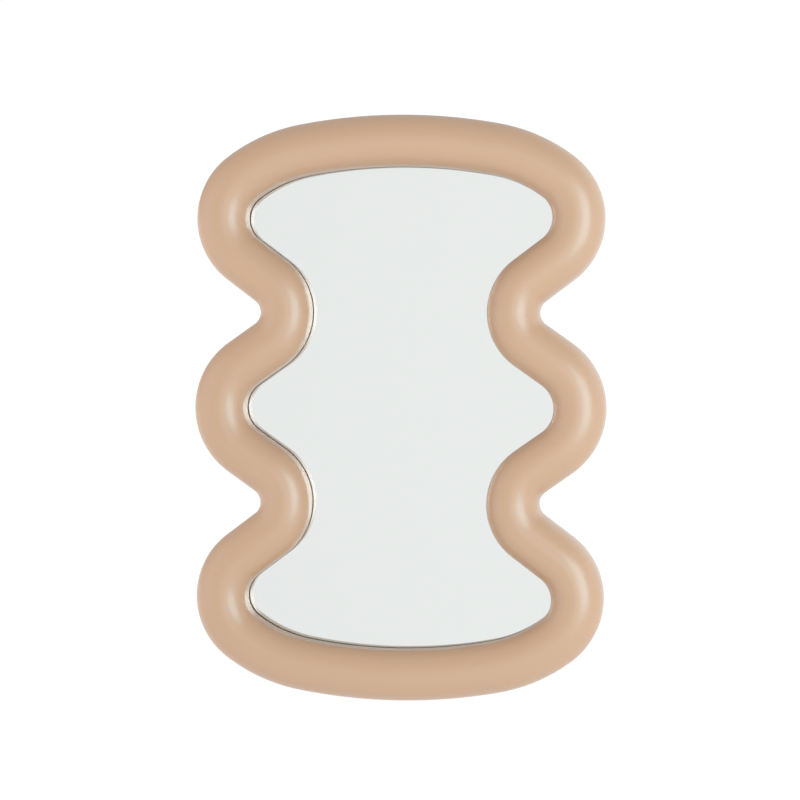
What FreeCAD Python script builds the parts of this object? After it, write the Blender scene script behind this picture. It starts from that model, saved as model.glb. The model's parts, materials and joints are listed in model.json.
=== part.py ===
# Table mirror: a wavy cast frame with shaped mirror glass, stood on its lower edge and on a hinged strut.
# Millimetres. The mirror is drawn upright about its own centre: x to the right, z up, y from front to back,
# with y at zero on the frame's flat back. It is then leant back and stood on the table, and the origin is
# set on the table under the middle of the whole mirror.

import FreeCAD
import Part
import os
from math import acos, atan2, cos, degrees, pi, radians, sin, tan

# Frame outline, followed along the middle line of the tube
frame_height = 300.0            # over the tube, top to bottom
tube_width = 27.0               # across the rounded tube, seen from the front
crown_rise = 39.3               # from the tips of the upper lobes up to the middle of the top
lobe_reach = 91.3               # from the centre line out to the upper and lower lobes
middle_reach = 92.2             # from the centre line out to the middle lobes
waist_reach = 58.1              # from the centre line out to the waists
shoulder_angle = 53.0           # where an upper lobe passes into its shoulder, in degrees above level
crown_flatness_share = 1.39     # radius of the top over that of an arc running straight into the lobes
lobe_radius_share = 0.2675      # radii of the wave, as shares of the pitch from lobe to lobe
middle_radius_share = 0.28
waist_radius_share = 0.213
waist_place_share = 0.503       # height of a waist, as a share of the pitch

# Frame section
sight_wall = 5.0                # straight wall between the rounded front and the glass
sight_edge_break = 0.6          # broken edge beside the glass
rear_edge_round = 1.5
lip_cover = 5.0                 # how far the lip reaches over the glass pocket
ledge_width = 8.0               # ledge that takes the backing board and its screws

# What lies in the frame
glass_thickness = 3.0
card_thickness = 1.0
board_thickness = 3.0
board_recess = 0.5              # the board lies this far inside the frame's back
pocket_clearance = 0.5          # round the edges of glass, card and board

# Stance
lean_angle = 12.0               # degrees, from upright
strut_angle = 22.0              # degrees, between the board and the open strut
standing_flat_rise = 1.5        # height ground off the frame's lowest edge, to stand on

# Hinge
hinge_height = 35.0             # hinge axis above the middle of the mirror
leaf_width = 30.0
leaf_length = 24.0              # from the hinge axis to the end of a leaf
leaf_thickness = 1.2
leaf_corner_radius = 3.0
knuckle_count = 5
knuckle_wall = 1.2
knuckle_gap = 0.3               # end play between neighbouring knuckles
knuckle_standoff = 0.4          # knuckles clear the board and the strut by this
notch_clearance = 0.7           # in a leaf, below the knuckles of the other leaf
pin_diameter = 2.5
pin_running_clearance = 0.05    # radial
pin_head_diameter = 4.2
pin_head_thickness = 0.8

# Strut
strut_thickness = 5.0
strut_top_width = 36.0
strut_foot_width = 64.0
strut_corner_radius = 5.0
stop_land = 7.0                 # length of the bevelled top end that stops against the board
foot_thickness = 2.0

# Rivets of the hinge
rivet_diameter = 3.0
rivet_dome_diameter = 6.0
rivet_dome_height = 1.2
rivet_flush_diameter = 5.0      # countersunk head at the other end
rivet_row_shares = (0.42, 0.78)  # down the leaf
rivet_side_share = 0.3          # out from the middle of the leaf

# Screws of the backing board
screw_length = 10.0
screw_shank_diameter = 3.0
screw_head_diameter = 6.0
screw_tip_room = 1.0            # pilot hole beyond the tip
screw_recess_span = 3.4         # cross recess for the driver
screw_recess_width = 0.9
screw_recess_depth = 1.0
lobe_screw_angle = 20.0         # degrees above level, on the upper lobes

hole_clearance = 0.1            # radial, round rivets and screws
cut_overrun = 10.0              # how far cutting shapes pass what they cut

# Depths of the stack, from the frame's back towards the front
board_rear = -board_recess
board_front = board_rear - board_thickness
glass_rear = board_front - card_thickness
glass_front = glass_rear - glass_thickness
dome_base = glass_front - sight_wall

# Offsets from the tube's middle line, negative towards the glass
tube_half = tube_width / 2
glass_pocket_edge = lip_cover - tube_half
board_pocket_edge = glass_pocket_edge + ledge_width
screw_line = glass_pocket_edge + ledge_width / 2

# Hinge: the outer face of each leaf is as far from the axis as the other's
knuckle_bore_radius = pin_diameter / 2 + pin_running_clearance
knuckle_radius = knuckle_bore_radius + knuckle_wall
leaf_offset = knuckle_radius + knuckle_standoff
knuckle_pitch = (leaf_width + knuckle_gap) / knuckle_count
board_knuckles = range(0, knuckle_count, 2)
strut_knuckles = range(1, knuckle_count, 2)
board_grip = board_thickness + leaf_thickness
strut_grip = strut_thickness + leaf_thickness

centre = FreeCAD.Vector(0, 0, 0)
across = FreeCAD.Vector(1, 0, 0)
backwards = FreeCAD.Vector(0, 1, 0)
upwards = FreeCAD.Vector(0, 0, 1)
full_turn = degrees(2 * pi)
hinge_axis = backwards * (board_rear + leaf_offset) + upwards * hinge_height

# Stance, with the mirror leant back about its centre: the table, and how far down the strut it lies
lean = FreeCAD.Rotation(across, -lean_angle)
table_z = lean.multVec(upwards * (-frame_height / 2)).z + standing_flat_rise
strut_length = (lean.multVec(hinge_axis).z - table_z) / cos(radians(strut_angle - lean_angle))


def normal(angle):
    """Unit vector in the plane of the mirror, its angle counted from level towards the top."""
    return across * cos(angle) + upwards * sin(angle)


class Bend:
    """Arc of the middle line. Its angles are those of the outward normal; a waist has a negative radius."""

    def __init__(self, middle, radius, start, end):
        self.middle = middle
        self.radius = radius
        self.start = start
        self.end = end

    def point(self, angle, offset=0.0, y=0.0):
        return self.middle + normal(angle) * (self.radius + offset) + backwards * y

    def edge(self, offset, y):
        angles = (self.start, (self.start + self.end) / 2, self.end)
        return Part.Arc(*[self.point(angle, offset, y) for angle in angles]).toShape()

    def sweep(self, section):
        face = section(lambda offset, y: self.point(self.start, offset, y))
        return face.revolve(self.middle, backwards, degrees(self.start - self.end))


class Flank:
    """Straight run of the middle line between two bends."""

    def __init__(self, before, after):
        self.first = before.point(before.end)
        self.last = after.point(after.start)
        self.outward = normal(before.end)

    def edge(self, offset, y):
        shift = self.outward * offset + backwards * y
        return Part.LineSegment(self.first + shift, self.last + shift).toShape()

    def sweep(self, section):
        face = section(lambda offset, y: self.first + self.outward * offset + backwards * y)
        return face.extrude(self.last - self.first)


def wave_bends():
    """The bends of one quarter, from the middle lobe up to the crown, each tangent to the next."""
    crown_top = frame_height / 2 - tube_half
    pitch = crown_top - crown_rise
    lobe_radius = lobe_radius_share * pitch
    middle_radius = middle_radius_share * pitch
    waist_radius = waist_radius_share * pitch
    middle_at = across * (middle_reach - middle_radius)
    lobe_at = across * (lobe_reach - lobe_radius) + upwards * pitch
    waist_at = across * (waist_reach + waist_radius) + upwards * waist_place_share * pitch

    # A straight flank touches a lobe on one side and the waist on the other
    to_waist = waist_at - middle_at
    lower_flank = atan2(to_waist.z, to_waist.x) - acos((middle_radius + waist_radius) / to_waist.Length)
    to_waist = waist_at - lobe_at
    upper_flank = atan2(to_waist.z, to_waist.x) + acos((lobe_radius + waist_radius) / to_waist.Length)

    # The crown is flatter than an arc that ran straight into the lobes, so a shoulder joins the two
    straight_in = (lobe_at.x ** 2 + crown_rise ** 2 - lobe_radius ** 2) / (2 * (crown_rise - lobe_radius))
    crown_radius = crown_flatness_share * straight_in
    crown_at = upwards * (crown_top - crown_radius)
    lobe_end = radians(shoulder_angle)
    to_lobe = lobe_at - crown_at
    room = crown_radius - lobe_radius
    swell = (room ** 2 - to_lobe.Length ** 2) / (2 * (room - to_lobe.dot(normal(lobe_end))))
    shoulder_at = lobe_at - normal(lobe_end) * swell
    to_shoulder = shoulder_at - crown_at
    shoulder_end = atan2(to_shoulder.z, to_shoulder.x)

    return [
        Bend(middle_at, middle_radius, 0.0, lower_flank),
        Bend(waist_at, -waist_radius, lower_flank, upper_flank),
        Bend(lobe_at, lobe_radius, upper_flank, lobe_end),
        Bend(shoulder_at, lobe_radius + swell, lobe_end, shoulder_end),
        Bend(crown_at, crown_radius, shoulder_end, pi / 2),
    ]


middle_bend, waist_bend, lobe_bend, shoulder_bend, crown_bend = wave_bends()
quarter = [
    middle_bend,
    Flank(middle_bend, waist_bend),
    waist_bend,
    Flank(waist_bend, lobe_bend),
    lobe_bend,
    shoulder_bend,
    crown_bend,
]


def four_fold(shapes):
    """A quarter's shapes with their mirror images below and on the left."""
    half = shapes + [shape.mirror(centre, upwards) for shape in shapes]
    return half + [shape.mirror(centre, across) for shape in half]


def bar(low, high):
    """Box between two corners."""
    return Part.makeBox(*(high - low), low)


def spread(shape, places):
    """Copies of a shape at several places."""
    return [shape.translated(place) for place in places]


def corner_edges(plate, thickness):
    """Edges that run through a plate from front to back."""
    return [edge for edge in plate.Edges if edge.BoundBox.YLength > thickness / 2]


def frame_section(place):
    """Face of the tube: half-round front, straight sides, stepped pockets and a flat back."""
    round_middle = rear_edge_round * (1 - cos(pi / 4))
    outer_front = place(tube_half, dome_base)
    inner_front = place(-tube_half, dome_base)
    round_side = place(tube_half, -rear_edge_round)
    round_back = place(tube_half - rear_edge_round, 0)
    pockets = [
        inner_front,
        place(-tube_half, glass_front - sight_edge_break),
        place(sight_edge_break - tube_half, glass_front),
        place(glass_pocket_edge, glass_front),
        place(glass_pocket_edge, board_front),
        place(board_pocket_edge, board_front),
        place(board_pocket_edge, 0),
        round_back,
    ]
    edges = [Part.Arc(outer_front, place(0, dome_base - tube_half), inner_front).toShape()]
    edges += Part.makePolygon(pockets).Edges
    edges.append(Part.Arc(round_back, place(tube_half - round_middle, -round_middle), round_side).toShape())
    edges.append(Part.LineSegment(round_side, outer_front).toShape())
    return Part.Face(Part.Wire(edges))


def frame_ring():
    """The section swept along a quarter of the outline, and mirrored to close the ring."""
    runs = four_fold([run.sweep(frame_section) for run in quarter])
    return runs[0].multiFuse(runs[1:]).removeSplitter()


def sheet(offset, front, rear):
    """Flat piece that follows the frame's outline at an offset from the tube's middle line."""
    edges = four_fold([run.edge(offset, front) for run in quarter])
    outline = Part.Wire(Part.__sortEdges__(edges))
    return Part.Face(outline).extrude(backwards * (rear - front)).removeSplitter()


def flush_pin(length, shank_radius, head_radius):
    """Countersunk pin, its flat head at the centre and its shank towards the back."""
    taper = head_radius - shank_radius
    profile = [(0, 0), (head_radius, 0), (shank_radius, taper), (shank_radius, length), (0, length), (0, 0)]
    outline = Part.makePolygon([across * radius + backwards * y for radius, y in profile])
    return Part.Face(outline).revolve(centre, backwards, full_turn)


def screw_places():
    """Heads of the screws, in the board's rear face over the middle of the ledge."""
    lobe = lobe_bend.point(radians(lobe_screw_angle), screw_line)
    side = middle_bend.point(middle_bend.start, screw_line)
    crown = crown_bend.point(crown_bend.end, screw_line)
    places = [FreeCAD.Vector(x, 0, z) for x in (-lobe.x, lobe.x) for z in (-lobe.z, lobe.z)]
    return [place + backwards * board_rear for place in places + [side, -side, crown, -crown]]


def board_screw():
    """Pointed screw with a cross recess in its countersunk head, its shank towards the front."""
    shank_radius = screw_shank_diameter / 2
    straight = screw_length - shank_radius
    screw = flush_pin(straight, shank_radius, screw_head_diameter / 2)
    screw = screw.fuse(Part.makeCone(shank_radius, 0, shank_radius, backwards * straight, backwards))
    half_span, half_width = screw_recess_span / 2, screw_recess_width / 2
    for x, z in ((half_span, half_width), (half_width, half_span)):
        low = FreeCAD.Vector(-x, -cut_overrun, -z)
        screw = screw.cut(bar(low, FreeCAD.Vector(x, screw_recess_depth, z)))
    return screw.rotated(centre, across, full_turn / 2)


def screw_hole():
    """Room for a screw in the board and the ledge."""
    shank_radius = screw_shank_diameter / 2 + hole_clearance
    head_radius = screw_head_diameter / 2 + hole_clearance
    hole = flush_pin(screw_length + screw_tip_room, shank_radius, head_radius)
    return hole.rotated(centre, across, full_turn / 2)


def rivet(grip):
    """Rivet with a flush head at the centre, and a domed head beyond the grip, towards the back."""
    shank = flush_pin(grip, rivet_diameter / 2, rivet_flush_diameter / 2)
    dome_radius = rivet_dome_diameter / 2
    ball_radius = (dome_radius ** 2 + rivet_dome_height ** 2) / (2 * rivet_dome_height)
    ball = Part.makeSphere(ball_radius, backwards * (grip + rivet_dome_height - ball_radius))
    corner = (across + upwards) * ball_radius
    dome = ball.common(bar(backwards * grip - corner, backwards * (grip + ball_radius) + corner))
    return shank.fuse(dome).removeSplitter()


def rivet_hole(grip):
    """Room for a rivet's shank and flush head."""
    return flush_pin(grip, rivet_diameter / 2 + hole_clearance, rivet_flush_diameter / 2 + hole_clearance)


def rivet_places(y):
    """The rivets of one leaf, from the hinge axis."""
    sides = (-rivet_side_share * leaf_width, rivet_side_share * leaf_width)
    return [FreeCAD.Vector(x, y, -share * leaf_length) for x in sides for share in rivet_row_shares]


def leaf(own, other):
    """Hinge leaf about the axis, with its plate below the axis and towards the back."""
    half_width = leaf_width / 2
    plate_low = FreeCAD.Vector(-half_width, leaf_offset - leaf_thickness, -leaf_length)
    plate = bar(plate_low, FreeCAD.Vector(half_width, leaf_offset, 0))
    lower = [edge for edge in corner_edges(plate, leaf_thickness) if edge.BoundBox.ZMax < -leaf_length / 2]
    plate = plate.makeFillet(leaf_corner_radius, lower)
    for index in other:
        start = index * knuckle_pitch - half_width
        notch_low = FreeCAD.Vector(start - knuckle_gap, -cut_overrun, -knuckle_radius - notch_clearance)
        plate = plate.cut(bar(notch_low, FreeCAD.Vector(start + knuckle_pitch, cut_overrun, cut_overrun)))
    for index in own:
        start = across * (index * knuckle_pitch - half_width)
        plate = plate.fuse(Part.makeCylinder(knuckle_radius, knuckle_pitch - knuckle_gap, start, across))
    bore_start = across * -(half_width + cut_overrun)
    bore = Part.makeCylinder(knuckle_bore_radius, leaf_width + 2 * cut_overrun, bore_start, across)
    return plate.cut(bore).removeSplitter()


def pin():
    """Hinge pin about the axis, headed at both ends."""
    reach = leaf_width / 2 + pin_running_clearance
    body = Part.makeCylinder(pin_diameter / 2, 2 * reach, across * -reach, across)
    for end in (across, -across):
        body = body.fuse(Part.makeCylinder(pin_head_diameter / 2, pin_head_thickness, end * reach, end))
    return body.removeSplitter()


def strut_blank():
    """Tapered strut about the hinge axis, as it hangs when folded, longer than it reaches to the table."""
    top = leaf_offset / tan(radians(strut_angle) / 2) + stop_land
    half_top = strut_top_width / 2
    taper = (strut_foot_width / 2 - half_top) / (top + strut_length)
    end = strut_length + strut_foot_width
    half_end = half_top + taper * (top + end)
    corners = [(-half_end, -end), (half_end, -end), (half_top, top), (-half_top, top), (-half_end, -end)]
    outline = Part.makePolygon([FreeCAD.Vector(x, leaf_offset, z) for x, z in corners])
    blank = Part.Face(outline).extrude(backwards * strut_thickness)
    upper = [edge for edge in corner_edges(blank, strut_thickness) if edge.BoundBox.ZMin > 0]
    return blank.makeFillet(strut_corner_radius, upper)


def opened(shape):
    """A piece on the strut, drawn folded about the hinge axis, swung open on the mirror."""
    return shape.rotated(centre, across, strut_angle).translated(hinge_axis)


def ahead_of_board():
    """Everything in front of the board's rear face, where the strut stops."""
    reach = (across + backwards + upwards) * frame_height
    return bar(-reach, FreeCAD.Vector(frame_height, board_rear, frame_height))


def below(height):
    """Everything under a level plane at a height above the table, turned to the upright mirror."""
    reach = (across + backwards + upwards) * frame_height
    level = bar(-reach, FreeCAD.Vector(frame_height, frame_height, table_z + height))
    return level.rotated(centre, across, lean_angle)


def mirror_pieces():
    """Every piece by name, on the upright mirror with its strut open."""
    screws = screw_places()
    screw_holes = spread(screw_hole(), screws)
    board_rivets = [hinge_axis + place for place in rivet_places(-leaf_offset - board_thickness)]
    board_rivet_holes = spread(rivet_hole(board_grip), board_rivets)
    strut_rivets = rivet_places(leaf_offset - leaf_thickness)
    strut_rivet_holes = spread(rivet_hole(strut_grip), strut_rivets)
    glass_edge = glass_pocket_edge - pocket_clearance
    board = sheet(board_pocket_edge - pocket_clearance, board_front, board_rear)
    board_leaf = leaf(board_knuckles, strut_knuckles).mirror(centre, backwards).translated(hinge_axis)
    strut = opened(strut_blank().cut(strut_rivet_holes)).cut(ahead_of_board())
    return {
        "frame": frame_ring().cut(screw_holes + [below(0)]),
        "mirror_glass": sheet(glass_edge, glass_front, glass_rear),
        "backing_card": sheet(glass_edge, glass_rear, board_front),
        "backing_board": board.cut(screw_holes + board_rivet_holes),
        "backing_screws": Part.makeCompound(spread(board_screw(), screws)),
        "hinge_board_leaf": board_leaf.cut(board_rivet_holes),
        "hinge_board_rivets": Part.makeCompound(spread(rivet(board_grip), board_rivets)),
        "hinge_pin": pin().translated(hinge_axis),
        "hinge_strut_leaf": opened(leaf(strut_knuckles, board_knuckles).cut(strut_rivet_holes)),
        "hinge_strut_rivets": opened(Part.makeCompound(spread(rivet(strut_grip), strut_rivets))),
        "strut_board": strut.cut(below(foot_thickness)),
        "strut_foot": strut.common(below(foot_thickness)).cut(below(0)),
    }


def main():
    standing = {name: shape.rotated(centre, across, -lean_angle) for name, shape in mirror_pieces().items()}
    box = Part.makeCompound(list(standing.values())).optimalBoundingBox()
    to_origin = FreeCAD.Vector(0, -box.Center.y, -table_z)
    os.makedirs("parts", exist_ok=True)
    for name, shape in standing.items():
        shape.translated(to_origin).exportStep(f"parts/{name}.step")
    print("size", [round(length, 3) for length in (box.XLength, box.YLength, box.ZLength)])
    print("hinge axis", [round(length, 4) for length in lean.multVec(hinge_axis) + to_origin])


main()
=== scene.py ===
"""Looks of a table mirror: a wavy cast frame, shaped mirror glass, a flocked back, a hinge and a strut.

Everything is in metres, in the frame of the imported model. Pieces that follow the frame's outline are drawn
upright about the mirror's own centre, with x to the right, z up and y at zero on the frame's flat back, and
are then leant back onto their place.
"""

import json
import logging
from abc import ABC, abstractmethod
from dataclasses import dataclass
from enum import Enum
from math import acos, atan2, cos, pi, radians, sin
from typing import Sequence, Union

import bmesh
import bpy
from bmesh.types import BMEdge, BMesh, BMFace, BMVert
from mathutils import Matrix, Vector


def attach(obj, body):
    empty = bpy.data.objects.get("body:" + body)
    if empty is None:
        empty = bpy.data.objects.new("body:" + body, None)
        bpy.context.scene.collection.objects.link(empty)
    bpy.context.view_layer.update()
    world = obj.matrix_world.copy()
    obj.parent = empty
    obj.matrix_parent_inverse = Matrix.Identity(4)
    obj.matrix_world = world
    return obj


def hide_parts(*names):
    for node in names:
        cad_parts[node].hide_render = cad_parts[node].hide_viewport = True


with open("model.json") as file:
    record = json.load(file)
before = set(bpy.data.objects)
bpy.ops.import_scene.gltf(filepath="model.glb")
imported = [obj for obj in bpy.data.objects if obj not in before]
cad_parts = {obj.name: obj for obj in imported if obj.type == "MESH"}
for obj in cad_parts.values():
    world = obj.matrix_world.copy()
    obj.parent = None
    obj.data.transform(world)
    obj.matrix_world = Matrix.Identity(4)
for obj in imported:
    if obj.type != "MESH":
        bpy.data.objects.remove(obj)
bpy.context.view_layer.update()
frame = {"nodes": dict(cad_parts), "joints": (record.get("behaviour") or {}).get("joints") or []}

MM = 0.001
WELD = 1e-6                     # vertices nearer than this are one
FLAT_ANGLE = radians(0.5)       # neighbouring faces within this lie in one plane
CREASE_ANGLE = radians(32)      # edges sharper than this stay crisp
EASE_SEGMENTS = 2               # rows of faces round an eased edge

# Places of the sockets of a Mix node that mixes colours
MIX_SHARE = 0
MIX_FIRST = 6
MIX_SECOND = 7
MIX_RESULT = 2

Key = Union[int, str]           # name or place of a socket
Sockets = dict[Key, Union["Signal", float, Sequence[float]]]
Colour = tuple[float, float, float]
Stretch = tuple[float, float, float]
Range = tuple[float, float]
Geometry = list[Union[BMVert, BMEdge, BMFace]]

ACROSS = Vector((1, 0, 0))
BACKWARDS = Vector((0, 1, 0))
UPWARDS = Vector((0, 0, 1))

log = logging.getLogger("table_mirror")


class Body(Enum):
    """The two bodies that move against each other."""

    MIRROR = "mirror"
    STRUT = "strut"


class Slot(Enum):
    """Material slots of the record."""

    LACQUER = "frame_lacquer"
    SILVER = "mirror_silver"
    CARD = "grey_card"
    BOARD = "black_board"
    SCREW = "screw_steel"
    HINGE = "hinge_steel"
    RUBBER = "foot_rubber"


class Signal:
    """Output of a shader node. Sums and products of signals add the Math nodes that work them out."""

    def __init__(self, sheet: "NodeSheet", socket: bpy.types.NodeSocket) -> None:
        """Keeps the socket with the sheet that it is on."""
        self.sheet = sheet
        self.socket = socket

    def _math(self, operation: str, first: "Signal | float", second: "Signal | float") -> "Signal":
        """One Math node on two signals or numbers."""
        return self.sheet.node("ShaderNodeMath", {"operation": operation}, {0: first, 1: second})

    def __add__(self, other: "Signal | float") -> "Signal":
        """Sum."""
        return self._math("ADD", self, other)

    def __radd__(self, other: float) -> "Signal":
        """Sum with a number in front."""
        return self._math("ADD", other, self)

    def __sub__(self, other: "Signal | float") -> "Signal":
        """Difference."""
        return self._math("SUBTRACT", self, other)

    def __rsub__(self, other: float) -> "Signal":
        """Difference from a number."""
        return self._math("SUBTRACT", other, self)

    def __mul__(self, other: "Signal | float") -> "Signal":
        """Product."""
        return self._math("MULTIPLY", self, other)

    def __rmul__(self, other: float) -> "Signal":
        """Product with a number in front."""
        return self._math("MULTIPLY", other, self)


class NodeSheet:
    """Nodes of one material or world."""

    def __init__(self, tree: bpy.types.NodeTree, shader: str) -> None:
        """Finds the node that shades the surface.

        Args:
            tree: the node tree to draw on.
            shader: the type of that node.
        """
        self.tree = tree
        self.shader = next(node for node in tree.nodes if node.type == shader)

    def feed(self, node: bpy.types.Node, sockets: Sockets) -> None:
        """Sets or links a node's inputs.

        Args:
            node: the node.
            sockets: a number, colour or signal for each input, by its name or place.
        """
        for key, value in sockets.items():
            if isinstance(value, Signal):
                self.tree.links.new(value.socket, node.inputs[key])
            else:
                node.inputs[key].default_value = value

    def node(self, kind: str, settings: dict[str, object], sockets: Sockets, output: Key = 0) -> Signal:
        """Adds any node.

        Args:
            kind: the node's type.
            settings: its own settings, set first; stops are the places and levels of a ramp.
            sockets: the values or links of its inputs.
            output: which of its outputs is wanted.

        Returns:
            That output.
        """
        made = self.tree.nodes.new(kind)
        for key, value in settings.items():
            if key == "stops":
                for stop, (place, level) in zip(made.color_ramp.elements, value):
                    stop.position = place
                    stop.color = (level, level, level, 1)
            else:
                setattr(made, key, value)
        self.feed(made, sockets)
        return Signal(self, made.outputs[output])

    def place(self, stretch: Stretch) -> Signal:
        """Object coordinates, stretched along the axes.

        Args:
            stretch: how many times finer a pattern runs along each axis.

        Returns:
            The stretched coordinates.
        """
        here = self.node("ShaderNodeTexCoord", {}, {}, "Object")
        return self.node("ShaderNodeMapping", {}, {"Vector": here, "Scale": stretch})

    def noise(self, size: float, detail: float = 2.0, stretch: Stretch = (1, 1, 1)) -> Signal:
        """Cloudy pattern from 0 to 1.

        Args:
            size: width of one cloud.
            detail: how much finer structure it has.
            stretch: how many times finer it runs along each axis.

        Returns:
            The pattern.
        """
        sockets = {"Vector": self.place(stretch), "Scale": 1 / size, "Detail": detail}
        return self.node("ShaderNodeTexNoise", {}, sockets)

    def ramp(self, pattern: Signal, low: float, high: float) -> Signal:
        """Part of a pattern's range, spread to 0 to 1.

        Args:
            pattern: the pattern.
            low: what becomes 0.
            high: what becomes 1.

        Returns:
            The spread pattern.
        """
        return self.node("ShaderNodeValToRGB", {"stops": ((low, 0), (high, 1))}, {"Fac": pattern})

    def blend(self, share: Signal, first: Colour, second: Colour) -> Signal:
        """Mix of two colours.

        Args:
            share: how much of the second.
            first: the first colour.
            second: the second colour.

        Returns:
            The mixed colour.
        """
        sockets = {MIX_SHARE: share, MIX_FIRST: (*first, 1), MIX_SECOND: (*second, 1)}
        return self.node("ShaderNodeMix", {"data_type": "RGBA"}, sockets, MIX_RESULT)

    def relief(self, height: Signal, depth: float) -> Signal:
        """Normal of a surface with a pattern raised on it.

        Args:
            height: the pattern.
            depth: how high it stands.

        Returns:
            The normal.
        """
        return self.node("ShaderNodeBump", {}, {"Distance": depth, "Height": height})


def shaded(colour: Colour, factor: float) -> Colour:
    """A colour made darker or lighter."""
    red, green, blue = (part * factor for part in colour)
    return red, green, blue


@dataclass(frozen=True)
class Finish(ABC):
    """Surface of a piece."""

    name: str
    slot: Slot
    colour: Colour
    roughness: float

    @abstractmethod
    def sockets(self, sheet: NodeSheet) -> Sockets:
        """The values and links of the surface shader's inputs.

        Args:
            sheet: where the nodes go.

        Returns:
            A value or signal for each input.
        """

    def material(self) -> bpy.types.Material:
        """The finish as a material, made when it is first wanted.

        Returns:
            The material.
        """
        made = bpy.data.materials.get(self.name)
        if made is None:
            made = bpy.data.materials.new(self.name)
            made.use_nodes = True
            sheet = NodeSheet(made.node_tree, "BSDF_PRINCIPLED")
            sheet.feed(sheet.shader, self.sockets(sheet))
        return made


@dataclass(frozen=True)
class SatinLacquer(Finish):
    """Sprayed satin lacquer: nearly even, with a trace of orange peel."""

    name: str = "satin_tan_lacquer"
    slot: Slot = Slot.LACQUER
    colour: Colour = (0.478, 0.290, 0.178)
    roughness: float = 0.40
    ior: float = 1.58
    glint: Colour = (0.36, 0.86, 1.0)   # tint of highlights, which come out nearly neutral on the tan
    coat: float = 0.40                  # share of a smoother top coat, seen where the tube turns away
    coat_roughness: float = 0.25
    mottle: float = 0.012               # how far the colour drifts either way
    sheen_drift: float = 0.03           # how far the gloss drifts either way
    cloud_size: float = 60 * MM
    peel_size: float = 1.6 * MM
    peel_detail: float = 1.0
    peel_depth: float = 0.012 * MM

    def sockets(self, sheet: NodeSheet) -> Sockets:
        """Colour and gloss that drift a little, over a fine peel.

        Args:
            sheet: where the nodes go.

        Returns:
            A value or signal for each input.
        """
        clouds = sheet.noise(self.cloud_size)
        peel = sheet.noise(self.peel_size, self.peel_detail)
        dull, bright = shaded(self.colour, 1 - self.mottle), shaded(self.colour, 1 + self.mottle)
        return {
            "Base Color": sheet.blend(clouds, dull, bright),
            "Roughness": self.roughness + self.sheen_drift * (2 * clouds - 1),
            "IOR": self.ior,
            "Specular Tint": (*self.glint, 1),
            "Coat Weight": self.coat,
            "Coat Roughness": self.coat_roughness,
            "Normal": sheet.relief(peel, self.peel_depth),
        }


@dataclass(frozen=True)
class FloatGlass(Finish):
    """Clear glass with a breath of green and hardly a trace of wiping."""

    name: str = "float_glass"
    slot: Slot = Slot.SILVER
    colour: Colour = (0.982, 0.995, 0.986)
    roughness: float = 0.004
    ior: float = 1.5
    wipe_size: float = 45 * MM
    wipe_detail: float = 4.0
    wipe_stretch: Stretch = (1.0, 1.0, 4.0)
    wipe_range: Range = (0.45, 0.75)

    def sockets(self, sheet: NodeSheet) -> Sockets:
        """Smooth glass, a little less so along faint wiping marks.

        Args:
            sheet: where the nodes go.

        Returns:
            A value or signal for each input.
        """
        marks = sheet.noise(self.wipe_size, self.wipe_detail, self.wipe_stretch)
        return {
            "Base Color": (*self.colour, 1),
            "Roughness": self.roughness * sheet.ramp(marks, *self.wipe_range),
            "IOR": self.ior,
            "Transmission Weight": 1.0,
        }


@dataclass(frozen=True)
class Silvering(Finish):
    """Silver on the back of the glass, seen through it."""

    name: str = "silvering"
    slot: Slot = Slot.SILVER
    colour: Colour = (0.925, 0.942, 0.930)
    roughness: float = 0.006
    mottle: float = 0.004
    cloud_size: float = 30 * MM

    def sockets(self, sheet: NodeSheet) -> Sockets:
        """Bright metal with the faintest clouds.

        Args:
            sheet: where the nodes go.

        Returns:
            A value or signal for each input.
        """
        clouds = sheet.noise(self.cloud_size)
        return {
            "Base Color": sheet.blend(clouds, shaded(self.colour, 1 - self.mottle), self.colour),
            "Roughness": self.roughness * clouds,
            "Metallic": 1.0,
        }


@dataclass(frozen=True)
class GreyCard(Finish):
    """Raw grey card with fibres in it."""

    name: str = "raw_grey_card"
    slot: Slot = Slot.CARD
    colour: Colour = (0.42, 0.40, 0.37)
    roughness: float = 0.9
    mottle: float = 0.12
    fibre_size: float = 2.5 * MM
    fibre_detail: float = 5.0
    fibre_stretch: Stretch = (1.0, 1.0, 5.0)
    fibre_depth: float = 0.03 * MM

    def sockets(self, sheet: NodeSheet) -> Sockets:
        """Matt grey with short fibres.

        Args:
            sheet: where the nodes go.

        Returns:
            A value or signal for each input.
        """
        fibres = sheet.noise(self.fibre_size, self.fibre_detail, self.fibre_stretch)
        dull, pale = shaded(self.colour, 1 - self.mottle), shaded(self.colour, 1 + self.mottle)
        return {
            "Base Color": sheet.blend(fibres, dull, pale),
            "Roughness": self.roughness,
            "Normal": sheet.relief(fibres, self.fibre_depth),
        }


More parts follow.
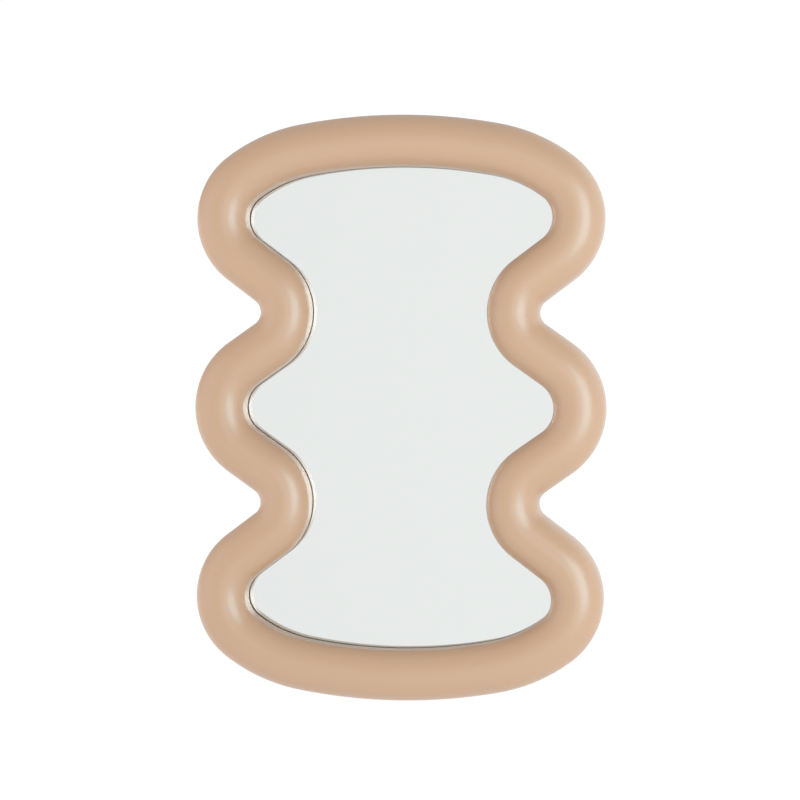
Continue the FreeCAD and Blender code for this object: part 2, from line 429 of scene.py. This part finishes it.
@dataclass(frozen=True)
class BlackFlock(Finish):
    """Short black pile, brushed a little unevenly."""

    name: str = "black_flock"
    slot: Slot = Slot.BOARD
    colour: Colour = (0.016, 0.0155, 0.015)
    roughness: float = 0.88
    brushed: Colour = (0.034, 0.033, 0.032)
    brush_size: float = 38 * MM
    brush_detail: float = 3.0
    brush_stretch: Stretch = (1.0, 1.0, 0.4)
    brush_range: Range = (0.35, 0.75)
    pile_size: float = 0.6 * MM
    pile_detail: float = 5.0
    pile_stretch: Stretch = (1.6, 1.6, 0.6)
    pile_depth: float = 0.08 * MM
    stroke_share: float = 0.6           # how much paler the fibres are in a stroke
    pile_share: float = 0.7             # how much paler the fibres are all over
    sheen: float = 0.16
    sheen_roughness: float = 0.4

    def sockets(self, sheet: NodeSheet) -> Sockets:
        """Dark pile with paler strokes, a grain of fibres and a soft sheen.

        Args:
            sheet: where the nodes go.

        Returns:
            A value or signal for each input.
        """
        pile = sheet.noise(self.pile_size, self.pile_detail, self.pile_stretch)
        brushing = sheet.noise(self.brush_size, self.brush_detail, self.brush_stretch)
        strokes = sheet.ramp(brushing, *self.brush_range)
        paler = self.stroke_share * strokes * pile + self.pile_share * pile
        return {
            "Base Color": sheet.blend(paler, self.colour, self.brushed),
            "Roughness": self.roughness,
            "Sheen Weight": self.sheen,
            "Sheen Roughness": self.sheen_roughness,
            "Normal": sheet.relief(pile, self.pile_depth),
        }


@dataclass(frozen=True)
class PlatedSteel(Finish):
    """Rolled steel under a thin plating."""

    name: str = "zinc_plated_steel"
    slot: Slot = Slot.HINGE
    colour: Colour = (0.60, 0.605, 0.60)
    roughness: float = 0.3
    tarnish: Colour = (0.42, 0.42, 0.405)
    dulling: float = 0.12               # how much rougher rolling marks and stains are
    rolling_size: float = 3.0 * MM
    rolling_detail: float = 4.0
    rolling_stretch: Stretch = (12.0, 1.0, 1.0)
    stain_size: float = 7 * MM
    stain_detail: float = 4.0
    stain_range: Range = (0.4, 0.75)
    scratch_depth: float = 0.006 * MM

    def sockets(self, sheet: NodeSheet) -> Sockets:
        """Metal with fine rolling marks and duller stains.

        Args:
            sheet: where the nodes go.

        Returns:
            A value or signal for each input.
        """
        rolling = sheet.noise(self.rolling_size, self.rolling_detail, self.rolling_stretch)
        stains = sheet.ramp(sheet.noise(self.stain_size, self.stain_detail), *self.stain_range)
        return {
            "Base Color": sheet.blend(stains, self.colour, self.tarnish),
            "Metallic": 1.0,
            "Roughness": self.roughness + self.dulling * rolling + self.dulling * stains,
            "Normal": sheet.relief(rolling, self.scratch_depth),
        }


@dataclass(frozen=True)
class SoftRubber(Finish):
    """Matt rubber with a dusting of grains."""

    name: str = "matt_rubber"
    slot: Slot = Slot.RUBBER
    colour: Colour = (0.022, 0.022, 0.022)
    roughness: float = 0.82
    dust: Colour = (0.06, 0.058, 0.055)
    dust_range: Range = (0.5, 0.8)
    sheen_drift: float = 0.1            # between the lowest and the highest grains
    grain_size: float = 0.4 * MM
    grain_depth: float = 0.03 * MM

    def sockets(self, sheet: NodeSheet) -> Sockets:
        """Dark rubber, paler on its grains.

        Args:
            sheet: where the nodes go.

        Returns:
            A value or signal for each input.
        """
        grains = sheet.noise(self.grain_size)
        return {
            "Base Color": sheet.blend(sheet.ramp(grains, *self.dust_range), self.colour, self.dust),
            "Roughness": self.roughness + self.sheen_drift * (grains - 0.5),
            "Normal": sheet.relief(grains, self.grain_depth),
        }


LACQUER = SatinLacquer()
GLASS = FloatGlass()
SILVER = Silvering()
CARD = GreyCard()
FLOCK = BlackFlock()
ZINC = PlatedSteel()
BLACK_STEEL = PlatedSteel(
    name="black_oxide_steel", slot=Slot.SCREW, colour=(0.06, 0.06, 0.065), tarnish=(0.03, 0.03, 0.032)
)
RUBBER = SoftRubber()


def whole(bm: BMesh) -> Geometry:
    """All vertices, edges and faces of a mesh."""
    return bm.verts[:] + bm.edges[:] + bm.faces[:]


def only(kind: type, parts: Geometry) -> Geometry:
    """The parts of a mesh that are of one kind."""
    return [part for part in parts if isinstance(part, kind)]


@dataclass(frozen=True)
class Run:
    """Stretch of the frame's middle line, swept in equal steps: a turn about a centre or a shift."""

    centre: Vector
    turn: float
    shift: Vector
    steps: int


def bend(centre: Vector, start: float, end: float, steps: int) -> Run:
    """Arc of the middle line, between two angles of its outward normal."""
    return Run(centre, start - end, Vector(), steps)


def flank(first: Vector, last: Vector, steps: int) -> Run:
    """Straight run of the middle line between two points."""
    return Run(Vector(), 0.0, (last - first) / steps, steps)


def normal(angle: float) -> Vector:
    """Unit vector in the plane of the mirror, its angle counted from level towards the top."""
    return ACROSS * cos(angle) + UPWARDS * sin(angle)


@dataclass(frozen=True)
class WaveLine:
    """Middle line of the tube: three lobes and two waists a side under an arched top, all tangent."""

    frame_height: float = 300 * MM
    tube_width: float = 27 * MM
    crown_rise: float = 39.3 * MM
    lobe_reach: float = 91.3 * MM
    middle_reach: float = 92.2 * MM
    waist_reach: float = 58.1 * MM
    shoulder_angle: float = radians(53)
    crown_flatness_share: float = 1.39
    lobe_radius_share: float = 0.2675
    middle_radius_share: float = 0.28
    waist_radius_share: float = 0.213
    waist_place_share: float = 0.503
    bend_step: float = radians(2.5)
    flank_steps: int = 4
    crown_steps: int = 14

    def runs(self) -> list[Run]:
        """The runs of one quarter, from the tip of the middle lobe up to the middle of the top.

        Returns:
            The runs in order.
        """
        crown_top = (self.frame_height - self.tube_width) / 2
        rise = self.crown_rise
        pitch = crown_top - rise
        lobe_radius = self.lobe_radius_share * pitch
        middle_radius = self.middle_radius_share * pitch
        waist_radius = self.waist_radius_share * pitch
        middle = ACROSS * (self.middle_reach - middle_radius)
        lobe = ACROSS * (self.lobe_reach - lobe_radius) + UPWARDS * pitch
        waist = ACROSS * (self.waist_reach + waist_radius) + UPWARDS * (self.waist_place_share * pitch)

        # A straight flank touches a lobe on one side and the waist on the other
        to_waist = waist - middle
        lower = atan2(to_waist.z, to_waist.x) - acos((middle_radius + waist_radius) / to_waist.length)
        to_waist = waist - lobe
        upper = atan2(to_waist.z, to_waist.x) + acos((lobe_radius + waist_radius) / to_waist.length)
        low, high = normal(lower), normal(upper)

        # The crown is flatter than an arc that ran straight into the lobes, so a shoulder joins the two
        straight_in = (lobe.x ** 2 + rise ** 2 - lobe_radius ** 2) / (2 * (rise - lobe_radius))
        crown_radius = self.crown_flatness_share * straight_in
        crown = UPWARDS * (crown_top - crown_radius)
        lobe_end = self.shoulder_angle
        room = crown_radius - lobe_radius
        to_lobe = lobe - crown
        swell = (room ** 2 - to_lobe.length_squared) / (2 * (room - to_lobe.dot(normal(lobe_end))))
        shoulder = lobe - normal(lobe_end) * swell
        to_shoulder = shoulder - crown
        shoulder_end = atan2(to_shoulder.z, to_shoulder.x)

        def steps(start: float, end: float) -> int:
            """How many steps a bend takes."""
            return round(abs(end - start) / self.bend_step)

        return [
            bend(middle, 0.0, lower, steps(0.0, lower)),
            flank(middle + low * middle_radius, waist - low * waist_radius, self.flank_steps),
            bend(waist, lower, upper, steps(lower, upper)),
            flank(waist - high * waist_radius, lobe + high * lobe_radius, self.flank_steps),
            bend(lobe, upper, lobe_end, steps(upper, lobe_end)),
            bend(shoulder, lobe_end, shoulder_end, steps(lobe_end, shoulder_end)),
            bend(crown, shoulder_end, pi / 2, self.crown_steps),
        ]

    def sweep(self, bm: BMesh, start: Geometry) -> None:
        """Sweeps what lies at the tip of the right middle lobe round the whole outline.

        Args:
            bm: the mesh.
            start: vertices and edges in the level plane through the middle.
        """
        last = start
        for run in self.runs():
            swept = bmesh.ops.spin(
                bm, geom=last, cent=run.centre, axis=BACKWARDS,
                dvec=run.shift, angle=run.turn, steps=run.steps,
            )
            last = swept["geom_last"]
        for axis in ("Z", "X"):
            bmesh.ops.mirror(bm, geom=whole(bm), axis=axis, merge_dist=WELD)
        bmesh.ops.remove_doubles(bm, verts=bm.verts, dist=WELD)

    def plate(self, offset: float, front: float, rear: float) -> BMesh:
        """Flat plate that follows the outline.

        Args:
            offset: of its edge from the middle line, negative towards the glass.
            front: depth of its front face.
            rear: depth of its rear face.

        Returns:
            The closed plate.
        """
        bm = bmesh.new()
        corner = bm.verts.new(ACROSS * (self.middle_reach + offset) + BACKWARDS * front)
        self.sweep(bm, [corner])
        bmesh.ops.edgeloop_fill(bm, edges=bm.edges)
        grown = bmesh.ops.extrude_face_region(bm, geom=bm.faces[:])
        moved = only(BMVert, grown["geom"])
        bmesh.ops.translate(bm, verts=moved, vec=BACKWARDS * (rear - front))
        bmesh.ops.recalc_face_normals(bm, faces=bm.faces)
        return bm


@dataclass(frozen=True)
class Stance:
    """How the upright mirror stands on the table."""

    lean: float = radians(12)
    hinge_rise: float = 35 * MM         # hinge axis above the middle of the mirror
    hinge_depth: float = 2.4 * MM       # hinge axis behind the frame's back
    strut_angle: float = radians(22)

    @property
    def hinge(self) -> Vector:
        """Hinge axis on the standing mirror."""
        return Vector(frame["joints"][0]["pos_m"])

    @property
    def turn(self) -> Matrix:
        """Lean of the mirror."""
        return Matrix.Rotation(-self.lean, 4, "X")

    @property
    def upright(self) -> Matrix:
        """From the upright mirror to the standing one."""
        drawn = BACKWARDS * self.hinge_depth + UPWARDS * self.hinge_rise
        return Matrix.Translation(self.hinge) @ self.turn @ Matrix.Translation(-drawn)

    @property
    def leaf_on_board(self) -> Matrix:
        """From a leaf about its axis, with its plate behind, to the leaf on the board."""
        return Matrix.Translation(self.hinge) @ self.turn @ Matrix.Scale(-1, 4, BACKWARDS)

    @property
    def leaf_on_strut(self) -> Matrix:
        """From a leaf about its axis, with its plate behind, to the leaf on the open strut."""
        return Matrix.Translation(self.hinge) @ self.turn @ Matrix.Rotation(self.strut_angle, 4, "X")


WAVE = WaveLine()
STANCE = Stance()


def merged_copy(node: str) -> BMesh:
    """Copy of a solid's mesh with its triangles joined and its flat faces made whole.

    Args:
        node: name of the solid.

    Returns:
        The joined mesh.
    """
    bm = bmesh.new()
    bm.from_mesh(frame["nodes"][node].data)
    bmesh.ops.remove_doubles(bm, verts=bm.verts, dist=WELD)
    bmesh.ops.dissolve_limit(bm, angle_limit=FLAT_ANGLE, verts=bm.verts, edges=bm.edges)
    return bm


def turned(profile: Sequence[tuple[float, float]], axis: Vector, steps: int) -> BMesh:
    """Round piece from half of its outline.

    Args:
        profile: distances from the axis and along it, from one end to the other.
        axis: the axis, through the centre.
        steps: how many sides it has.

    Returns:
        The closed piece.
    """
    bm = bmesh.new()
    outward = axis.orthogonal().normalized()
    corners = [bm.verts.new(outward * reach + axis * along) for reach, along in profile]
    edges = [bm.edges.new(pair) for pair in zip(corners, corners[1:])]
    bmesh.ops.spin(
        bm, geom=corners + edges, cent=Vector(), axis=axis, angle=2 * pi, steps=steps, use_merge=True
    )
    bmesh.ops.remove_doubles(bm, verts=bm.verts, dist=WELD)
    bmesh.ops.recalc_face_normals(bm, faces=bm.faces)
    return bm


def spread(bm: BMesh, places: Sequence[Matrix]) -> None:
    """Copies of a whole mesh at several places, instead of the first.

    Args:
        bm: the mesh.
        places: where the copies go.
    """
    first = whole(bm)
    for place in places:
        copied = bmesh.ops.duplicate(bm, geom=first)["geom"]
        bmesh.ops.transform(bm, matrix=place, verts=only(BMVert, copied))
    bmesh.ops.delete(bm, geom=only(BMVert, first), context="VERTS")


@dataclass(frozen=True)
class Piece:
    """A finished mesh: its name, the solid that it stands for, its body and its finishes."""

    name: str
    node: str
    body: Body
    finishes: tuple[Finish, ...]

    def make(self, bm: BMesh, easing: float = 0.0, crisp: float = CREASE_ANGLE) -> None:
        """Makes the object and puts it on its body.

        Args:
            bm: the mesh in place, which is used up.
            easing: width of the bevel along its crisp edges.
            crisp: edges sharper than this angle are shaded crisp.
        """
        for face in bm.faces:
            face.smooth = True
        for edge in bm.edges:
            edge.smooth = len(edge.link_faces) == 2 and edge.calc_face_angle(0.0) < crisp
        mesh = bpy.data.meshes.new(self.name)
        bm.to_mesh(mesh)
        bm.free()
        for finish in self.finishes:
            mesh.materials.append(finish.material())
        made = bpy.data.objects.new(self.name, mesh)
        bpy.context.scene.collection.objects.link(made)
        if easing:
            ease = made.modifiers.new("eased_edges", "BEVEL")
            ease.width = easing
            ease.segments = EASE_SEGMENTS
            ease.limit_method = "ANGLE"
            ease.angle_limit = CREASE_ANGLE
            ease.harden_normals = True
        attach(made, self.body.value)
        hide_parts(self.node)
        log.info("%s: %d faces, rides on %s", self.name, len(mesh.polygons), self.body.value)

    def make_copy(self, easing: float = 0.0) -> None:
        """Makes the object from a joined copy of its solid, its crisp edges eased by a width."""
        self.make(merged_copy(self.node), easing)


@dataclass(frozen=True)
class CastFrame:
    """Rounded tube with stepped pockets at the back, ground flat where it stands."""

    sight_wall: float = 5 * MM
    sight_trim: float = 1.0 * MM        # cut off the tube's inner side, which leaves a flat wall
    sight_draft: float = 0.25 * MM      # how far the wall leans in towards the glass
    sight_edge_break: float = 0.15 * MM
    rear_edge_round: float = 1.5 * MM
    lip_cover: float = 5 * MM
    ledge_width: float = 8 * MM
    board_recess: float = 0.5 * MM
    board_thickness: float = 3 * MM
    card_thickness: float = 1 * MM
    glass_thickness: float = 3 * MM
    dome_steps: int = 44
    round_steps: int = 10
    crisp_angle: float = radians(12)    # the wall's front edge is sharper, and no step of a round is

    @property
    def board_front(self) -> float:
        """Depth of the ledge under the board."""
        return -self.board_recess - self.board_thickness

    @property
    def glass_rear(self) -> float:
        """Depth of the silvered face."""
        return self.board_front - self.card_thickness

    @property
    def glass_front(self) -> float:
        """Depth of the lip against the glass."""
        return self.glass_rear - self.glass_thickness

    def section(self, bm: BMesh) -> Geometry:
        """Outline of the tube at the tip of the right middle lobe.

        Args:
            bm: the mesh.

        Returns:
            The outline's vertices and edges.
        """
        half = WAVE.tube_width / 2
        sight = half - self.sight_trim
        lip = sight + self.sight_draft
        dome_base = self.glass_front - self.sight_wall
        pocket = self.lip_cover - half
        ledge = pocket + self.ledge_width

        def at(offset: float, depth: float) -> Vector:
            """Point of the section."""
            return ACROSS * (WAVE.middle_reach + offset) + BACKWARDS * depth

        def arc(start: Vector, centre: Vector, angle: float, steps: int) -> tuple[BMVert, BMVert]:
            """Round stretch of the outline.

            Args:
                start: where it starts.
                centre: its centre.
                angle: how far it turns.
                steps: how many edges it has.

            Returns:
                Its first and last vertices.
            """
            first = bm.verts.new(start)
            swept = bmesh.ops.spin(bm, geom=[first], cent=centre, axis=UPWARDS, angle=angle, steps=steps)
            return first, only(BMVert, swept["geom_last"])[0]

        dome_turn = acos(sight / half) - pi
        dome_start, dome_end = arc(at(half, dome_base), at(0, dome_base), dome_turn, self.dome_steps)
        steps = [
            (-lip, self.glass_front - self.sight_edge_break),
            (self.sight_edge_break - lip, self.glass_front),
            (pocket, self.glass_front),
            (pocket, self.board_front),
            (ledge, self.board_front),
            (ledge, 0.0),
        ]
        corners = [bm.verts.new(at(offset, depth)) for offset, depth in steps]
        back = half - self.rear_edge_round
        round_centre = at(back, -self.rear_edge_round)
        round_start, round_end = arc(at(back, 0.0), round_centre, -pi / 2, self.round_steps)
        for pair in zip([dome_end] + corners, corners + [round_start]):
            bm.edges.new(pair)
        bm.edges.new((round_end, dome_start))
        return bm.verts[:] + bm.edges[:]

    def build(self) -> None:
        """Makes the frame, swept, stood and ground flat underneath."""
        bm = bmesh.new()
        WAVE.sweep(bm, self.section(bm))
        bmesh.ops.transform(bm, matrix=STANCE.upright, verts=bm.verts)
        cut = bmesh.ops.bisect_plane(
            bm, geom=whole(bm), plane_co=Vector(), plane_no=UPWARDS, clear_inner=True
        )
        bmesh.ops.edgeloop_fill(bm, edges=only(BMEdge, cut["geom_cut"]))
        bmesh.ops.recalc_face_normals(bm, faces=bm.faces)
        casting = Piece("frame_casting", "frame", Body.MIRROR, (LACQUER,))
        casting.make(bm, crisp=self.crisp_angle)


@dataclass(frozen=True)
class MirrorGlass:
    """Clear glass, silvered behind."""

    housing: CastFrame
    clearance: float = 0.5 * MM
    seamed_edge: float = 0.25 * MM
    contact_gap: float = 0.02 * MM      # air between touching faces, so that neither hides the other

    def build(self) -> None:
        """Makes the pane, its front and edges clear and its rear face silvered."""
        offset = self.housing.lip_cover - WAVE.tube_width / 2 - self.clearance
        front = self.housing.glass_front + self.contact_gap
        rear = self.housing.glass_rear - self.contact_gap
        bm = WAVE.plate(offset, front, rear)
        rim = [edge for edge in bm.edges if edge.calc_face_angle(0.0) > CREASE_ANGLE]
        bmesh.ops.bevel(
            bm, geom=rim, offset=self.seamed_edge, affect="EDGES", segments=1, profile=0.5, material=-1
        )
        bmesh.ops.recalc_face_normals(bm, faces=bm.faces)
        for face in bm.faces:
            face.material_index = int(face.normal.dot(BACKWARDS) > cos(CREASE_ANGLE))
        bmesh.ops.transform(bm, matrix=STANCE.upright, verts=bm.verts)
        Piece("mirror_pane", "mirror_glass", Body.MIRROR, (GLASS, SILVER)).make(bm)


@dataclass(frozen=True)
class Back:
    """Card and flocked board behind the glass, with the screws that hold them."""

    board_easing: float = 0.3 * MM

    def build(self) -> None:
        """Dresses the card and makes the board and its screws."""
        card = frame["nodes"]["backing_card"]
        for slot in card.material_slots:
            slot.material = CARD.material()
        log.info("backing_card: dressed")
        Piece("back_board", "backing_board", Body.MIRROR, (FLOCK,)).make_copy(self.board_easing)
        Piece("board_screws", "backing_screws", Body.MIRROR, (BLACK_STEEL,)).make_copy()


@dataclass(frozen=True)
class StrutHinge:
    """Two leaves on a headed pin, riveted to the board and to the strut."""

    housing: CastFrame
    leaf_width: float = 30 * MM
    leaf_length: float = 24 * MM
    leaf_thickness: float = 1.2 * MM
    leaf_offset: float = 2.9 * MM       # outer face of a leaf from the axis
    leaf_easing: float = 0.15 * MM
    pin_diameter: float = 2.5 * MM
    pin_head_diameter: float = 4.2 * MM
    pin_head_thickness: float = 0.8 * MM
    pin_play: float = 0.05 * MM
    rivet_diameter: float = 3 * MM
    rivet_dome_diameter: float = 6 * MM
    rivet_dome_height: float = 1.2 * MM
    rivet_flush_diameter: float = 5 * MM
    rivet_row_shares: tuple[float, float] = (0.42, 0.78)
    rivet_side_share: float = 0.3
    strut_thickness: float = 5 * MM
    sides: int = 40
    dome_rings: int = 8
    edge_break: float = 0.15 * MM

    def rivets(self, flush_face: float, way: Vector, backing: float, stand: Matrix) -> BMesh:
        """The four rivets of one leaf.

        Args:
            flush_face: depth of their flush heads behind the axis.
            way: from a flush head to its dome.
            backing: thickness of what the leaf is riveted to.
            stand: from the leaf about its axis to its place.

        Returns:
            The rivets in place.
        """
        shank = self.rivet_diameter / 2
        flush = self.rivet_flush_diameter / 2
        dome = self.rivet_dome_diameter / 2
        rise = self.rivet_dome_height
        ball = (dome ** 2 + rise ** 2) / (2 * rise)
        widest = atan2(dome, ball - rise)
        grip = backing + self.leaf_thickness
        arc = [widest * (1 - ring / self.dome_rings) for ring in range(self.dome_rings + 1)]
        profile = [(0.0, 0.0), (flush, 0.0), (shank, flush - shank), (shank, grip)]
        profile += [(ball * sin(angle), grip + rise - ball + ball * cos(angle)) for angle in arc]
        bm = turned(profile, way, self.sides)
        sides = (-self.rivet_side_share * self.leaf_width, self.rivet_side_share * self.leaf_width)
        seat = BACKWARDS * flush_face
        drops = [UPWARDS * (-share * self.leaf_length) for share in self.rivet_row_shares]
        places = [Matrix.Translation(seat + ACROSS * side + drop) for side in sides for drop in drops]
        spread(bm, [stand @ place for place in places])
        bmesh.ops.recalc_face_normals(bm, faces=bm.faces)
        return bm

    def pin(self) -> BMesh:
        """The pin, with chamfered heads.

        Returns:
            The pin in place.
        """
        reach = self.leaf_width / 2 + self.pin_play
        end = reach + self.pin_head_thickness
        shank = self.pin_diameter / 2
        head = self.pin_head_diameter / 2
        half = [
            (shank, reach),
            (head, reach),
            (head, end - self.edge_break),
            (head - self.edge_break, end),
            (0.0, end),
        ]
        profile = [(radius, -along) for radius, along in reversed(half)] + half
        bm = turned(profile, ACROSS, self.sides)
        bmesh.ops.translate(bm, verts=bm.verts, vec=STANCE.hinge)
        return bm

    def build(self) -> None:
        """Makes the leaves, the pin and the rivets."""
        Piece("board_leaf", "hinge_board_leaf", Body.MIRROR, (ZINC,)).make_copy(self.leaf_easing)
        Piece("strut_leaf", "hinge_strut_leaf", Body.STRUT, (ZINC,)).make_copy(self.leaf_easing)
        Piece("leaf_pin", "hinge_pin", Body.MIRROR, (ZINC,)).make(self.pin())
        board_face = self.leaf_offset + self.housing.board_thickness
        on_board = self.rivets(board_face, -BACKWARDS, self.housing.board_thickness, STANCE.leaf_on_board)
        Piece("board_rivets", "hinge_board_rivets", Body.MIRROR, (ZINC,)).make(on_board)
        leaf_face = self.leaf_offset - self.leaf_thickness
        on_strut = self.rivets(leaf_face, BACKWARDS, self.strut_thickness, STANCE.leaf_on_strut)
        Piece("strut_rivets", "hinge_strut_rivets", Body.STRUT, (ZINC,)).make(on_strut)


@dataclass(frozen=True)
class Strut:
    """Flocked strut with a rubber foot."""

    board_easing: float = 0.5 * MM
    foot_easing: float = 0.3 * MM

    def build(self) -> None:
        """Makes the strut and its foot."""
        Piece("strut_panel", "strut_board", Body.STRUT, (FLOCK,)).make_copy(self.board_easing)
        Piece("strut_shoe", "strut_foot", Body.STRUT, (RUBBER,)).make_copy(self.foot_easing)


def heading(azimuth: float, elevation: float) -> Vector:
    """Direction straight to the front, turned to the right by one angle and then raised by the other."""
    level = cos(elevation)
    return Vector((sin(azimuth) * level, -cos(azimuth) * level, sin(elevation)))


def seen_from(azimuth: float, elevation: float) -> Vector:
    """Direction from the mirror, its angles counted from straight ahead of the leaning glass."""
    return STANCE.turn @ heading(azimuth, elevation)


def aimed(away: Vector) -> Matrix:
    """Turn of a lamp or camera that looks back at the mirror, upright to the leaning glass.

    Args:
        away: direction from the mirror in which it stands.

    Returns:
        The turn.
    """
    upright = STANCE.turn @ UPWARDS
    right = upright.cross(away).normalized()
    return Matrix((right, away.cross(right), away)).transposed().to_4x4()


@dataclass(frozen=True)
class Softbox:
    """Rectangular lamp aimed at the middle of the mirror; its angles are those seen from the mirror."""

    name: str
    azimuth: float
    elevation: float
    distance: float
    width: float
    height: float
    radiance: float
    colour: Colour
    reflected: bool                     # whether the glass and the gloss show it

    def build(self, target: Vector) -> None:
        """Makes the lamp.

        Args:
            target: what it is aimed at.
        """
        lamp = bpy.data.lights.new(self.name, "AREA")
        lamp.shape = "RECTANGLE"
        lamp.size = self.width
        lamp.size_y = self.height
        lamp.energy = self.radiance * pi * self.width * self.height
        lamp.color = self.colour
        made = bpy.data.objects.new(self.name, lamp)
        away = seen_from(self.azimuth, self.elevation)
        made.matrix_world = Matrix.Translation(target + away * self.distance) @ aimed(away)
        made.visible_glossy = self.reflected
        bpy.context.scene.collection.objects.link(made)


@dataclass(frozen=True)
class Glow:
    """Bright patch of the room, which fades from its core to its rim; its angles are those of the room."""

    azimuth: float
    elevation: float
    core: float
    rim: float
    level: float

    def signal(self, sheet: NodeSheet, direction: Signal) -> Signal:
        """Brightness of the patch in a direction.

        Args:
            sheet: where the nodes go.
            direction: the direction.

        Returns:
            Its level in the core, zero outside the rim.
        """
        sockets = {0: direction, 1: heading(self.azimuth, self.elevation)}
        facing = sheet.node("ShaderNodeVectorMath", {"operation": "DOT_PRODUCT"}, sockets, "Value")
        fade = {"Value": facing, "From Min": cos(self.rim), "From Max": cos(self.core)}
        return self.level * sheet.node("ShaderNodeMapRange", {"interpolation_type": "SMOOTHSTEP"}, fade)


@dataclass(frozen=True)
class Studio:
    """White floor, soft light and the camera."""

    lens: float = 135.0
    sensor: float = 36.0
    azimuth: float = radians(7.19)
    elevation: float = radians(1.06)
    distance: float = 1.5492
    aim_right: float = -0.94 * MM
    aim_up: float = 3.87 * MM
    roll: float = radians(0.17)
    floor_reach: float = 12.0
    floor_white: float = 0.06
    floor_glow: float = 0.98
    room_level: float = 0.08
    glows: tuple[Glow, ...] = (
        # Pale wall in front, which the glass shows
        Glow(azimuth=radians(2), elevation=radians(11), core=radians(4), rim=radians(30), level=0.35),
        Glow(azimuth=radians(0), elevation=radians(12), core=radians(15), rim=radians(85), level=0.47),
        # Brighter patch just beside what the glass shows, for the frame's inner walls
        Glow(azimuth=radians(10), elevation=radians(13), core=radians(5), rim=radians(13), level=1.8),
        # Both sides, and the room behind the mirror
        Glow(azimuth=radians(-75), elevation=radians(5), core=radians(10), rim=radians(55), level=0.6),
        Glow(azimuth=radians(75), elevation=radians(5), core=radians(10), rim=radians(50), level=0.5),
        Glow(azimuth=radians(130), elevation=radians(5), core=radians(10), rim=radians(55), level=0.8),
        Glow(azimuth=radians(180), elevation=radians(50), core=radians(20), rim=radians(85), level=0.6),
    )
    key: Softbox = Softbox(
        name="key", azimuth=radians(43), elevation=0.0, distance=1.2, width=0.74, height=1.1,
        radiance=5.2, colour=(0.86, 0.965, 1.0), reflected=True,
    )
    fill: Softbox = Softbox(
        name="fill", azimuth=radians(-80), elevation=radians(5), distance=1.2, width=1.2, height=1.2,
        radiance=2.3, colour=(1.0, 1.0, 1.0), reflected=False,
    )

    def floor(self) -> None:
        """Makes the floor."""
        bm = bmesh.new()
        bmesh.ops.create_grid(bm, x_segments=1, y_segments=1, size=self.floor_reach)
        mesh = bpy.data.meshes.new("floor")
        bm.to_mesh(mesh)
        bm.free()
        paint = bpy.data.materials.new("white_floor")
        paint.use_nodes = True
        sheet = NodeSheet(paint.node_tree, "BSDF_PRINCIPLED")
        white = (self.floor_white, self.floor_white, self.floor_white, 1)
        glow = {"Emission Color": (1, 1, 1, 1), "Emission Strength": self.floor_glow}
        sheet.feed(sheet.shader, {"Base Color": white, "Roughness": 1.0, "Specular IOR Level": 0.0, **glow})
        mesh.materials.append(paint)
        made = bpy.data.objects.new("floor", mesh)
        bpy.context.scene.collection.objects.link(made)

    def sky(self) -> None:
        """Lights the room, brightest in front, where the glass looks, and softer all round."""
        world = bpy.data.worlds.new("studio")
        bpy.context.scene.world = world
        world.use_nodes = True
        sheet = NodeSheet(world.node_tree, "BACKGROUND")
        direction = sheet.node("ShaderNodeTexCoord", {}, {}, "Generated")
        level = sum((glow.signal(sheet, direction) for glow in self.glows), self.room_level)
        sheet.feed(sheet.shader, {"Color": (1, 1, 1, 1), "Strength": level})

    def camera(self, target: Vector) -> None:
        """Sets the camera.

        Args:
            target: the middle of the mirror.
        """
        lens = bpy.data.cameras.new("camera")
        lens.lens = self.lens
        lens.sensor_width = self.sensor
        made = bpy.data.objects.new("camera", lens)
        away = seen_from(self.azimuth, self.elevation)
        turn = aimed(away) @ Matrix.Rotation(self.roll, 4, "Z")
        aim = target + turn.to_3x3() @ Vector((self.aim_right, self.aim_up, 0))
        made.matrix_world = Matrix.Translation(aim + away * self.distance) @ turn
        bpy.context.scene.collection.objects.link(made)
        bpy.context.scene.camera = made

    def build(self) -> None:
        """Makes the floor, the light and the camera."""
        target = STANCE.upright @ Vector()
        self.floor()
        self.sky()
        self.key.build(target)
        self.fill.build(target)
        self.camera(target)
        bpy.context.scene.view_settings.view_transform = "Standard"


def main() -> None:
    """Builds the mirror from front to back, and then the studio."""
    logging.basicConfig(level=logging.INFO, format="%(name)s: %(message)s")
    housing = CastFrame()
    housing.build()
    MirrorGlass(housing).build()
    Back().build()
    StrutHinge(housing).build()
    Strut().build()
    Studio().build()


if __name__ == "__main__":
    main()
